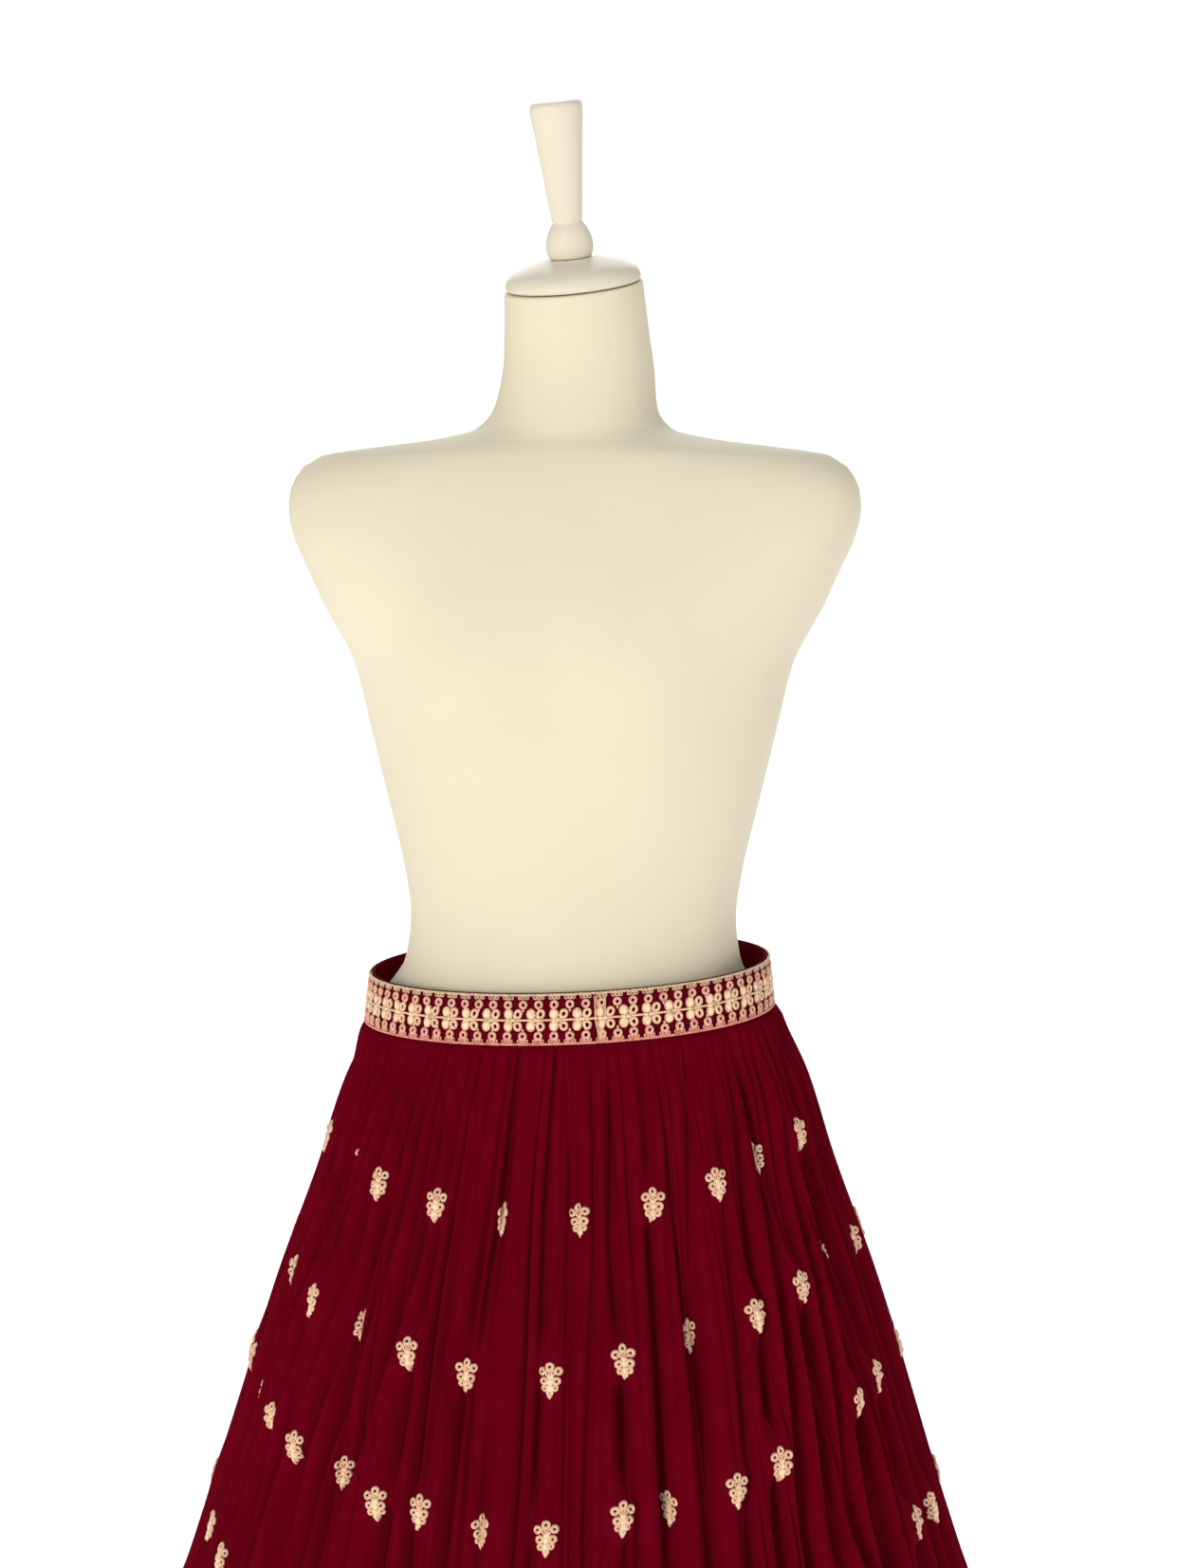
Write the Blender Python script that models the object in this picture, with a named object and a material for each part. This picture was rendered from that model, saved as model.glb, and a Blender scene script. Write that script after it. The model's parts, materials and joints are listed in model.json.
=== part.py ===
# Gathered lehenga skirt with its own straight belt, worn by a limbless dress form on a stand.
# Metres. +Z is up, the front faces -Y, and the origin is on the floor under the middle of the base.

import math

import bmesh
import bpy

# Driving sizes.
GAP = 0.0003  # between pieces that meet
EASE = 0.0004  # more room round the form, where flat facets and leaning walls come nearer

BASE_RADIUS = 0.200  # round foot of the stand
BASE_THICKNESS = 0.010
POLE_RADIUS = 0.0125
BASE_TOP = 0.032  # top of the boss that holds the pole
FORM_BOTTOM = 0.800  # flat underside of the form, hidden by the skirt
FORM_COLUMNS = 48

NECK_TOP = 1.541  # middle of the sloping cut across the neck
NECK_SHIFT = 0.0008  # its place along X
NECK_SLOPE_X = math.tan(math.radians(3.9))  # the cut rises towards +X
NECK_SLOPE_Y = math.tan(math.radians(12.5))  # and falls towards the front

BELT_BOTTOM = 1.0145  # at the middle of the belt's lower edge
BELT_HEIGHT = 0.0365
BELT_SLOPE = math.tan(math.radians(2.9))  # the belt sits higher at +X
BELT_DIP = math.tan(math.radians(2.1))  # and lower at the front
BELT_WALL = 0.003
BELT_LEAN = 0.027  # share by which the belt is narrower at its top
BELT_STEPS = 24  # facets of each half

HEM_HEIGHT = 0.030
SKIRT_WALL = 0.0022
FOLDS_PER_PANEL = 54
FOLD_POINTS = (0.0, 0.30, 0.70)  # valley, then the two shoulders of the fold's round top
FOLD_CREST = (None, 1.0, 0.93)  # height of each shoulder, as a share of the fold's depth
CROWDING = 0.24  # share by which the folds bunch and spread round the skirt
WIDEST = 1.3  # a valley grows with the narrower fold beside it, up to this share

# Dress form, a row for each level:
# height, half width, depth to the front, depth to the back, squareness of the outline
FORM_LEVELS = (
    (0.8000, 0.1520, 0.0900, 0.1120, 2.1),
    (0.8060, 0.1620, 0.0985, 0.1210, 2.1),
    (0.8600, 0.1690, 0.1060, 0.1290, 2.1),
    (0.9200, 0.1650, 0.1110, 0.1270, 2.1),
    (0.9750, 0.1575, 0.1140, 0.1200, 2.0),
    (1.0145, 0.1480, 0.1125, 0.1125, 2.0),
    (1.0300, 0.1385, 0.1080, 0.1040, 2.0),
    (1.0530, 0.1238, 0.1000, 0.0920, 2.0),
    (1.0850, 0.1200, 0.0920, 0.0840, 2.0),
    (1.1170, 0.1240, 0.0910, 0.0830, 2.0),
    (1.1730, 0.1370, 0.0970, 0.0870, 2.0),
    (1.2280, 0.1500, 0.1070, 0.0920, 2.0),
    (1.2700, 0.1600, 0.1120, 0.0950, 2.1),
    (1.3110, 0.1810, 0.1090, 0.0965, 2.3),
    (1.3390, 0.1935, 0.1030, 0.0950, 2.5),
    (1.3660, 0.2050, 0.0945, 0.0920, 2.6),
    (1.3830, 0.2080, 0.0880, 0.0890, 2.6),
    (1.3960, 0.2065, 0.0825, 0.0855, 2.6),
    (1.4100, 0.1995, 0.0755, 0.0800, 2.5),
    (1.4200, 0.1850, 0.0700, 0.0750, 2.3),
    (1.4265, 0.1430, 0.0650, 0.0700, 2.1),
    (1.4315, 0.1030, 0.0610, 0.0660, 2.0),
    (1.4390, 0.0715, 0.0580, 0.0620, 2.0),
    (1.4540, 0.0592, 0.0545, 0.0580, 2.0),
    (1.4745, 0.0555, 0.0520, 0.0550, 2.0),
    (1.5010, 0.0527, 0.0500, 0.0525, 2.0),
)
NECK_END = (0.0497, 0.0485, 0.0500, 2.0)  # outline of the sloping cut: width, front, back, square
BUST = {"height": 1.262, "out": 0.072, "rise": 0.060, "spread": 0.046, "depth": 0.013}
# The neck stands a little back and to the right of the axis in its middle, as the photo shows.
NECK_SET = {"height": 1.484, "rise": 0.036, "back": 0.004, "side": 0.0037}

# Turned pieces: height along the axis, radius.
CAP_PROFILE = (
    (0.0000, 0.0480), (0.0030, 0.0487), (0.0075, 0.0474), (0.0120, 0.0426),
    (0.0152, 0.0352), (0.0175, 0.0265), (0.0190, 0.0200), (0.0200, 0.0165),
)
FINIAL_PROFILE = (
    (0.0000, 0.0142), (0.0030, 0.0160), (0.0080, 0.0169), (0.0130, 0.0163),
    (0.0195, 0.0139), (0.0235, 0.0116), (0.0250, 0.0107), (0.0270, 0.0108),
    (0.0480, 0.0130), (0.0870, 0.0169), (0.0995, 0.0184), (0.1050, 0.0186),
    (0.1082, 0.0177), (0.1096, 0.0152),
)
BASE_PROFILE = (
    (0.0, BASE_RADIUS - 0.003), (0.002, BASE_RADIUS), (BASE_THICKNESS - 0.003, BASE_RADIUS),
    (BASE_THICKNESS, BASE_RADIUS - 0.005), (0.013, 0.060), (0.016, 0.032),
    (BASE_TOP - 0.003, 0.025), (BASE_TOP, 0.022),
)

# Skirt, a row for each level of the cloth:
# drop below the belt, half width, depth to the front, depth to the back, depth of the folds
SKIRT_LEVELS = (
    (0.000, 0.1500, 0.1185, 0.1185, 0.0022),
    (0.016, 0.1575, 0.1240, 0.1250, 0.0028),
    (0.050, 0.1735, 0.1400, 0.1420, 0.0036),
    (0.110, 0.1925, 0.1640, 0.1680, 0.0046),
    (0.200, 0.2255, 0.1960, 0.2010, 0.0056),
    (0.330, 0.2660, 0.2360, 0.2420, 0.0070),
    (0.500, 0.3215, 0.2910, 0.2980, 0.0088),
    (0.720, 0.3950, 0.3640, 0.3720, 0.0112),
    (0.9845, 0.4820, 0.4500, 0.4600, 0.0138),
)
# Gathers, a row for each fold, taken in turn round each panel:
# share of the width at the belt, share at the hem, depth at the belt, depth at the hem
FOLDS = (
    (1.05, 1.55, 0.95, 1.10),
    (0.60, 0.55, 0.80, 0.90),
    (1.45, 1.20, 1.10, 1.15),
    (0.80, 0.65, 0.75, 0.95),
    (1.10, 1.70, 1.15, 1.10),
    (0.65, 0.60, 0.90, 0.75),
    (1.50, 0.95, 0.95, 1.15),
    (0.75, 1.30, 0.80, 0.90),
    (1.20, 0.60, 1.15, 0.85),
    (0.70, 1.60, 0.85, 1.15),
    (1.35, 0.85, 0.95, 0.80),
    (0.60, 0.70, 0.75, 1.05),
    (1.25, 1.40, 1.05, 1.10),
    (0.90, 0.50, 0.85, 0.85),
    (1.55, 1.30, 1.15, 1.20),
    (0.70, 0.90, 0.80, 0.90),
    (1.00, 0.65, 0.95, 0.85),
)


def clear_scene():
    for item in list(bpy.data.objects):
        bpy.data.objects.remove(item, do_unlink=True)


def material(name, colour, roughness, metallic=0.0):
    made = bpy.data.materials.new(name)
    made.use_nodes = True
    shader = made.node_tree.nodes["Principled BSDF"]
    shader.inputs["Base Color"].default_value = (*colour, 1.0)
    shader.inputs["Roughness"].default_value = roughness
    shader.inputs["Metallic"].default_value = metallic
    return made


def finish(name, bm, look, sharp_degrees):
    # Every piece is one closed body with its faces pointing out.
    bmesh.ops.recalc_face_normals(bm, faces=bm.faces)
    mesh = bpy.data.meshes.new(name)
    bm.to_mesh(mesh)
    bm.free()
    mesh.materials.append(look)
    mesh.shade_smooth()
    mesh.set_sharp_from_angle(angle=math.radians(sharp_degrees))
    piece = bpy.data.objects.new(name, mesh)
    bpy.context.collection.objects.link(piece)
    return piece


def stack(name, rings, look, sharp_degrees=40):
    # Closed rings joined one above the next, with a flat face over each end.
    bm = bmesh.new()
    loops = [[bm.verts.new(point) for point in ring] for ring in rings]
    count = len(rings[0])
    for low, high in zip(loops, loops[1:]):
        for i in range(count):
            j = (i + 1) % count
            bm.faces.new((low[i], low[j], high[j], high[i]))
    bm.faces.new(list(reversed(loops[0])))
    bm.faces.new(loops[-1])
    return finish(name, bm, look, sharp_degrees)


def wall(name, outer, inner, look, sharp_degrees=60):
    # Two grids of points, one behind the other, closed along their four edges.
    bm = bmesh.new()
    faces = [[[bm.verts.new(p) for p in row] for row in grid] for grid in (outer, inner)]
    rows, columns = len(outer), len(outer[0])
    for grid in faces:
        for r in range(rows - 1):
            for c in range(columns - 1):
                bm.faces.new((grid[r][c], grid[r][c + 1], grid[r + 1][c + 1], grid[r + 1][c]))
    out, back = faces
    for r in (0, rows - 1):
        for c in range(columns - 1):
            bm.faces.new((out[r][c], out[r][c + 1], back[r][c + 1], back[r][c]))
    for c in (0, columns - 1):
        for r in range(rows - 1):
            bm.faces.new((out[r][c], out[r + 1][c], back[r + 1][c], back[r][c]))
    return finish(name, bm, look, sharp_degrees)


def turned(name, profile, segments, look):
    turn = [2 * math.pi * i / segments for i in range(segments)]
    rings = [[(r * math.cos(t), r * math.sin(t), z) for t in turn] for z, r in profile]
    return stack(name, rings, look)


def between(low, high, share):
    return tuple(a + (b - a) * share for a, b in zip(low, high))


def level_at(table, where):
    # A table's row at any height or drop, on a straight line between its neighbours.
    for low, high in zip(table, table[1:]):
        if where <= high[0]:
            share = max(0.0, (where - low[0]) / (high[0] - low[0]))
            return between(low, high, share)
    return table[-1]


def outline(half_width, front, back, square, angle):
    # Point of a rounded outline at an angle, where -pi/2 is the front.
    c, s = math.cos(angle), math.sin(angle)
    power = 2.0 / square
    depth = front if s < 0 else back
    return (
        math.copysign(abs(c) ** power * half_width, c),
        math.copysign(abs(s) ** power * depth, s),
    )


def form_point(height, angle):
    _, half_width, front, back, square = level_at(FORM_LEVELS, height)
    x, y = outline(half_width, front, back, square, angle)
    if math.sin(angle) < 0:
        side = math.exp(-(((abs(x) - BUST["out"]) / BUST["spread"]) ** 2))
        level = math.exp(-(((height - BUST["height"]) / BUST["rise"]) ** 2))
        y -= BUST["depth"] * side * level * abs(math.sin(angle))
    level = math.exp(-(((height - NECK_SET["height"]) / NECK_SET["rise"]) ** 2))
    return x + NECK_SET["side"] * level, y + NECK_SET["back"] * level


def belt_rise(x, y):
    return BELT_SLOPE * x + BELT_DIP * y


def belt_line(angle):
    # Where the belt's lower edge meets the form, all in the belt's sloping plane.
    x = y = 0.0
    for _ in range(6):
        x, y = form_point(BELT_BOTTOM + belt_rise(x, y), angle)
    reach = math.hypot(x, y)
    grow = (reach + GAP + EASE) / reach
    return x * grow, y * grow


def outward(x, y, distance):
    reach = math.hypot(x, y)
    return x * (reach + distance) / reach, y * (reach + distance) / reach


def clear_of_form(x, y, z, angle, distance):
    # Moves a point of the cloth out until it lies that far off the form.
    if z < FORM_BOTTOM:
        return x, y
    short = math.hypot(*form_point(z, angle)) + distance + GAP + EASE - math.hypot(x, y)
    return outward(x, y, max(0.0, short))


def seam_angles(first, steps, radius):
    # Angles of half a turn from a side seam to the other, held back by half the gap.
    inset = GAP / 2 / radius
    span = math.pi - 2 * inset
    return [first + inset + span * share for share in steps]


def build_form(look, pole_look, base_look, cap_look):
    angles = [2 * math.pi * i / FORM_COLUMNS - math.pi for i in range(FORM_COLUMNS)]
    rings = [[(*form_point(row[0], a), row[0]) for a in angles] for row in FORM_LEVELS]
    neck = []
    for a in angles:
        x, y = outline(*NECK_END, a)
        neck.append((x + NECK_SHIFT, y, NECK_TOP + NECK_SLOPE_X * x + NECK_SLOPE_Y * y))
    stack("form_torso", rings + [neck], look, 50)

    turned("stand_base", BASE_PROFILE, 48, base_look)
    pole = ((BASE_TOP + GAP, POLE_RADIUS), (FORM_BOTTOM - GAP, POLE_RADIUS))
    turned("stand_pole", pole, 24, pole_look)

    # The cap and the turned handle share an axis square to the cut across the neck.
    axis = bpy.data.objects.new("neck_axis", None)
    bpy.context.collection.objects.link(axis)
    axis.location = (NECK_SHIFT, 0.0, NECK_TOP)
    axis.rotation_euler = (math.atan(NECK_SLOPE_Y), -math.atan(NECK_SLOPE_X), 0.0)
    cap = turned("neck_cap", CAP_PROFILE, 40, cap_look)
    finial = turned("finial", FINIAL_PROFILE, 24, cap_look)
    for piece, height in ((cap, GAP), (finial, CAP_PROFILE[-1][0] + 2 * GAP)):
        piece.parent = axis
        piece.location = (0.0, 0.0, height)


def build_belt(look):
    for name, first in (("belt_front", -math.pi), ("belt_back", 0.0)):
        steps = [i / BELT_STEPS for i in range(BELT_STEPS + 1)]
        outer, inner = [], []
        for share in (0.0, 0.5, 1.0):
            rows = [], []
            for angle in seam_angles(first, steps, 0.145):
                x, y = belt_line(angle)
                lean = 1.0 - BELT_LEAN * share
                x, y = x * lean, y * lean
                z = BELT_BOTTOM + BELT_HEIGHT * share + belt_rise(x, y)
                rows[0].append((*outward(x, y, BELT_WALL), z))
                rows[1].append((x, y, z))
            outer.append(rows[0])
            inner.append(rows[1])
        wall(name, outer, inner, look)


def fold_steps(panel, share):
    # Places round a panel, 0 to 1, of every fold's points, with their depths, at one level.
    rows = [FOLDS[(i * (5 + 2 * panel) + 3 * panel) % len(FOLDS)] for i in range(FOLDS_PER_PANEL)]
    places, sunk, start, before = [], [], 0.0, 1.0
    for i, (top_width, hem_width, top_depth, hem_depth) in enumerate(rows):
        crowd = 1.0 + CROWDING * math.sin(0.61 * i + 1.7 * panel)
        width = (top_width + (hem_width - top_width) * share) * crowd
        valley = (top_depth + (hem_depth - top_depth) * share) * min(width, before, WIDEST)
        for point, crest in zip(FOLD_POINTS, FOLD_CREST):
            places.append(start + width * point)
            sunk.append(1.0 - crest if crest else valley)
        start += width
        before = width
    sunk[0] = 1.0
    return [place / start for place in places] + [1.0], sunk + [1.0]


def build_skirt(look):
    length = SKIRT_LEVELS[-1][0]
    for panel, (name, first) in enumerate((("skirt_front", -math.pi), ("skirt_back", 0.0))):
        outer, inner = [], []
        for drop, half_width, front, back, depth in SKIRT_LEVELS:
            share = drop / length
            places, sunk = fold_steps(panel, share)
            rows = [], []
            for angle, low in zip(seam_angles(first, places, half_width), sunk):
                x, y = outline(half_width, front, back, 2.0, angle)
                top = BELT_BOTTOM - 1.5 * GAP + belt_rise(*belt_line(angle))
                z = top + (HEM_HEIGHT - top) * share
                x, y = clear_of_form(x, y, z, angle, SKIRT_WALL + 1.35 * depth)
                x, y = outward(x, y, -low * depth)
                rows[0].append((x, y, z))
                rows[1].append((*outward(x, y, -SKIRT_WALL), z))
            outer.append(rows[0])
            inner.append(rows[1])
        wall(name, outer, inner, look)


clear_scene()
cream = material("form_cream", (0.84, 0.78, 0.64), 0.55)
cream_gloss = material("cap_cream", (0.84, 0.79, 0.67), 0.35)
pale_metal = material("stand_cream_metal", (0.80, 0.76, 0.66), 0.40)
maroon = material("skirt_maroon", (0.105, 0.001, 0.006), 0.75)
belt_cloth = material("belt_embroidered", (0.50, 0.24, 0.15), 0.60)

build_form(cream, pale_metal, pale_metal, cream_gloss)
build_belt(belt_cloth)
build_skirt(maroon)
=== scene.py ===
import json
import math

import bpy
import numpy as np
from mathutils import Matrix, Vector

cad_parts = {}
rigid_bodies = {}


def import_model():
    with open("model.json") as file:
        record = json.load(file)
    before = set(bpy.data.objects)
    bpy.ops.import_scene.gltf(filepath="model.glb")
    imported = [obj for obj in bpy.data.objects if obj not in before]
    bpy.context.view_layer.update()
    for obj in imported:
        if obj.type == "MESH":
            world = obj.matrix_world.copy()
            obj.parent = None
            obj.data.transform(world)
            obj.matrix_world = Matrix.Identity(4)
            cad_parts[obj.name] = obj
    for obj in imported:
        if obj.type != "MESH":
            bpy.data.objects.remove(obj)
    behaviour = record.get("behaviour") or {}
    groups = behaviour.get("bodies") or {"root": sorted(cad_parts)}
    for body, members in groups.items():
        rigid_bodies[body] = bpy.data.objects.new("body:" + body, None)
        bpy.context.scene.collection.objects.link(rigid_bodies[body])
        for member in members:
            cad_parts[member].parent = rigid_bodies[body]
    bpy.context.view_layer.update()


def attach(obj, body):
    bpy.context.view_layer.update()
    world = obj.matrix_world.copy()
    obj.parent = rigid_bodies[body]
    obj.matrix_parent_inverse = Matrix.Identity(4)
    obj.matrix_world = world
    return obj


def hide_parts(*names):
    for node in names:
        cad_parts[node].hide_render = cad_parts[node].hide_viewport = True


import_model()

# Levels of the form: height, half width, front depth, back depth, squareness.
formLevels = np.array([
    (0.8000, 0.1520, 0.0900, 0.1120, 2.1), (0.8060, 0.1620, 0.0985, 0.1210, 2.1),
    (0.8600, 0.1690, 0.1060, 0.1290, 2.1), (0.9200, 0.1650, 0.1110, 0.1270, 2.1),
    (0.9750, 0.1575, 0.1140, 0.1200, 2.0), (1.0145, 0.1480, 0.1125, 0.1125, 2.0),
    (1.0300, 0.1385, 0.1080, 0.1040, 2.0), (1.0530, 0.1238, 0.1000, 0.0920, 2.0),
    (1.0850, 0.1200, 0.0920, 0.0840, 2.0), (1.1170, 0.1240, 0.0910, 0.0830, 2.0),
    (1.1730, 0.1370, 0.0970, 0.0870, 2.0), (1.2280, 0.1500, 0.1070, 0.0920, 2.0),
    (1.2700, 0.1600, 0.1120, 0.0950, 2.1), (1.3110, 0.1810, 0.1090, 0.0965, 2.3),
    (1.3390, 0.1935, 0.1030, 0.0950, 2.5), (1.3660, 0.2050, 0.0945, 0.0920, 2.6),
    (1.3830, 0.2080, 0.0880, 0.0890, 2.6), (1.3960, 0.2065, 0.0825, 0.0855, 2.6),
    (1.4100, 0.1995, 0.0755, 0.0800, 2.5), (1.4200, 0.1850, 0.0700, 0.0750, 2.3),
    (1.4265, 0.1430, 0.0650, 0.0700, 2.1), (1.4315, 0.1030, 0.0610, 0.0660, 2.0),
    (1.4390, 0.0715, 0.0580, 0.0620, 2.0), (1.4540, 0.0592, 0.0545, 0.0580, 2.0),
    (1.4745, 0.0555, 0.0520, 0.0550, 2.0), (1.5010, 0.0527, 0.0500, 0.0525, 2.0),
])
# Levels of the skirt: drop, half width, front depth, back depth, fold depth.
skirtLevels = np.array([
    (0.000, 0.1500, 0.1185, 0.1185, 0.0022), (0.016, 0.1575, 0.1240, 0.1250, 0.0028),
    (0.050, 0.1735, 0.1400, 0.1420, 0.0036), (0.110, 0.1925, 0.1640, 0.1680, 0.0046),
    (0.200, 0.2255, 0.1960, 0.2010, 0.0056), (0.330, 0.2660, 0.2360, 0.2420, 0.0070),
    (0.500, 0.3215, 0.2910, 0.2980, 0.0088), (0.720, 0.3950, 0.3640, 0.3720, 0.0112),
    (0.9845, 0.4820, 0.4500, 0.4600, 0.0138),
])
# Folds in turn: width at the belt, width at the hem, depth at the belt, depth at the hem.
foldTable = np.array([
    (1.05, 1.55, 0.95, 1.10), (0.60, 0.55, 0.80, 0.90), (1.45, 1.20, 1.10, 1.15),
    (0.80, 0.65, 0.75, 0.95), (1.10, 1.70, 1.15, 1.10), (0.65, 0.60, 0.90, 0.75),
    (1.50, 0.95, 0.95, 1.15), (0.75, 1.30, 0.80, 0.90), (1.20, 0.60, 1.15, 0.85),
    (0.70, 1.60, 0.85, 1.15), (1.35, 0.85, 0.95, 0.80), (0.60, 0.70, 0.75, 1.05),
    (1.25, 1.40, 1.05, 1.10), (0.90, 0.50, 0.85, 0.85), (1.55, 1.30, 1.15, 1.20),
    (0.70, 0.90, 0.80, 0.90), (1.00, 0.65, 0.95, 0.85),
])
clothWall = 0.0022
beltBottom, beltHeight, beltWall, beltLean = 1.0145, 0.0365, 0.003, 0.027
beltSlope, beltDip = math.tan(math.radians(2.9)), math.tan(math.radians(2.1))
hemHeight, skirtLength = 0.030, 0.9845
# The neck's sloping cut: height on the axis, how far it is off the axis, its slopes and its outline.
neckTop, neckShift = 1.541, 0.0008
neckSlopeX, neckSlopeY = math.tan(math.radians(3.9)), math.tan(math.radians(12.5))
neckCut = {"half": 0.0497, "front": 0.0485, "back": 0.0500}
bust = {"height": 1.262, "out": 0.072, "rise": 0.060, "spread": 0.046, "depth": 0.013}
# The neck stands a little back and to the right of the axis in its middle, as the photo shows.
neckSet = {"height": 1.484, "rise": 0.036, "back": 0.004, "side": 0.0037}
gap, ease = 0.0003, 0.0004  # between pieces that meet, and more round the form


def curveThrough(xs, ys, at):
    # Smooth curve through a table with no overshoot: cubic Hermite, slopes are harmonic means.
    h = np.diff(xs)
    d = np.diff(ys) / h
    m = np.zeros(len(xs))
    same = d[:-1] * d[1:] > 0
    with np.errstate(divide="ignore", invalid="ignore"):
        m[1:-1] = np.where(same, 2 * d[:-1] * d[1:] / (d[:-1] + d[1:]), 0)
    m[0], m[-1] = d[0], d[-1]
    i = np.clip(np.searchsorted(xs, at, side="right") - 1, 0, len(xs) - 2)
    t = (at - xs[i]) / h[i]
    return ((2 * t**3 - 3 * t**2 + 1) * ys[i] + (t**3 - 2 * t**2 + t) * h[i] * m[i]
            + (3 * t**2 - 2 * t**3) * ys[i + 1] + (t**3 - t**2) * h[i] * m[i + 1])


def outline(halfWidth, front, back, square, angle):
    # x = w cos^(2/n), y = d sin^(2/n), with signs kept; the depth d is front's or back's.
    c, s = np.cos(angle), np.sin(angle)
    depth = np.where(s < 0, front, back)
    x = np.sign(c) * np.abs(c) ** (2 / square) * halfWidth
    y = np.sign(s) * np.abs(s) ** (2 / square) * depth
    return x, y


def formOutline(height, angle):
    z = np.clip(height, formLevels[0, 0], formLevels[-1, 0])
    w, f, b, n = (curveThrough(formLevels[:, 0], formLevels[:, k], z) for k in (1, 2, 3, 4))
    x, y = outline(w, f, b, n, angle)
    side = np.exp(-(((np.abs(x) - bust["out"]) / bust["spread"]) ** 2))
    level = np.exp(-(((height - bust["height"]) / bust["rise"]) ** 2))
    y = np.where(y < 0, y - bust["depth"] * side * level * np.abs(np.sin(angle)), y)
    level = np.exp(-(((height - neckSet["height"]) / neckSet["rise"]) ** 2))
    return x + neckSet["side"] * level, y + neckSet["back"] * level


def outward(x, y, distance):
    # (x, y) moved straight away from the axis.
    reach = np.hypot(x, y)
    return x * (reach + distance) / reach, y * (reach + distance) / reach


def beltRise(x, y):
    # The belt's plane rises towards +X and dips at the front.
    return beltSlope * x + beltDip * y


def beltLine(angle):
    # The belt's lower inner edge: where its sloping plane cuts the form, less the gap.
    x = y = np.zeros_like(angle)
    for _ in range(6):
        x, y = formOutline(beltBottom + beltRise(x, y), angle)
    return outward(x, y, gap + ease)


def gridQuads(rows, columns, closed=False):
    # Quads over a grid of points; closed joins the last column to the first.
    across = columns if closed else columns - 1
    r, c = np.meshgrid(np.arange(rows - 1), np.arange(across), indexing="ij")
    nextC = (c + 1) % columns
    return np.stack([r * columns + c, r * columns + nextC, (r + 1) * columns + nextC,
                     (r + 1) * columns + c], axis=-1).reshape(-1, 4)


def tubeQuads(rows, columns):
    # Quads over a grid that is closed both ways, as on a ring.
    i, j = np.meshgrid(np.arange(rows), np.arange(columns), indexing="ij")
    nextI, nextJ = (i + 1) % rows, (j + 1) % columns
    return np.stack([i * columns + j, nextI * columns + j, nextI * columns + nextJ, i * columns + nextJ],
                    -1).reshape(-1, 4)


def endFans(rows, columns):
    # Triangles from two end points, which follow the grid's, to the first row and the last.
    around = np.arange(columns)
    ahead, last = (around + 1) % columns, (rows - 1) * columns
    return np.concatenate([
        np.stack([np.full(columns, rows * columns), ahead, around], -1),
        np.stack([np.full(columns, rows * columns + 1), last + around, last + ahead], -1)])


def gridNormals(p):
    # Cross product of the grid's two directions, pointing out for rows that run down.
    n = np.cross(np.gradient(p, axis=0), np.gradient(p, axis=1))
    return n / np.maximum(np.linalg.norm(n, axis=-1, keepdims=True), 1e-12)


def putMesh(name, points, quads, look, node=None, slot=None, uv=None, tris=None, sharp=None):
    # One mesh from whole arrays; uv is one pair for each point.
    mesh = bpy.data.meshes.new(name)
    quads = np.asarray(quads, np.int32).reshape(-1, 4)
    tris = np.zeros((0, 3), np.int32) if tris is None else np.asarray(tris, np.int32).reshape(-1, 3)
    loops = np.concatenate([quads.ravel(), tris.ravel()]).astype(np.int32)
    sizes = np.concatenate([np.full(len(quads), 4), np.full(len(tris), 3)])
    starts = np.concatenate([[0], np.cumsum(sizes)[:-1]]).astype(np.int32)
    mesh.vertices.add(len(points))
    mesh.vertices.foreach_set("co", np.asarray(points, np.float32).ravel())
    mesh.loops.add(len(loops))
    mesh.loops.foreach_set("vertex_index", loops)
    mesh.polygons.add(len(sizes))
    mesh.polygons.foreach_set("loop_start", starts)
    if uv is not None:
        layer = mesh.uv_layers.new(name="cloth")
        layer.data.foreach_set("uv", np.asarray(uv, np.float32)[loops].ravel())
    mesh.update(calc_edges=True)
    mesh.validate()
    mesh.shade_smooth()
    if sharp:
        mesh.set_sharp_from_angle(angle=math.radians(sharp))
    mesh.materials.append(look)
    piece = bpy.data.objects.new(name, mesh)
    bpy.context.scene.collection.objects.link(piece)
    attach(piece, "root")
    if node:
        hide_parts(*node)
    return piece


def newLook(name, **values):
    # A material with one Principled BSDF and its constants.
    look = bpy.data.materials.new(name)
    look.use_nodes = True
    shader = look.node_tree.nodes["Principled BSDF"]
    for key, value in values.items():
        shader.inputs[key.replace("_", " ")].default_value = value
    return look, look.node_tree, shader


def addNode(tree, kind, links=None, **values):
    # One node: values go to its sockets or settings, links give the sources of other sockets.
    node = tree.nodes.new(kind)
    for key, value in values.items():
        if key in node.inputs:
            node.inputs[key].default_value = value
        else:
            setattr(node, key, value)
    for key, source in (links or {}).items():
        tree.links.new(source, node.inputs[key])
    return node


def colourRamp(tree, source, stops):
    # Colours by place from 0 to 1: the first stop, the last one, and any between.
    ramp = addNode(tree, "ShaderNodeValToRGB", {"Fac": source})
    ramp.color_ramp.elements[0].position, ramp.color_ramp.elements[0].color = stops[0]
    ramp.color_ramp.elements[1].position, ramp.color_ramp.elements[1].color = stops[-1]
    for place, colour in stops[1:-1]:
        ramp.color_ramp.elements.new(place).color = colour
    return ramp


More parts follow.
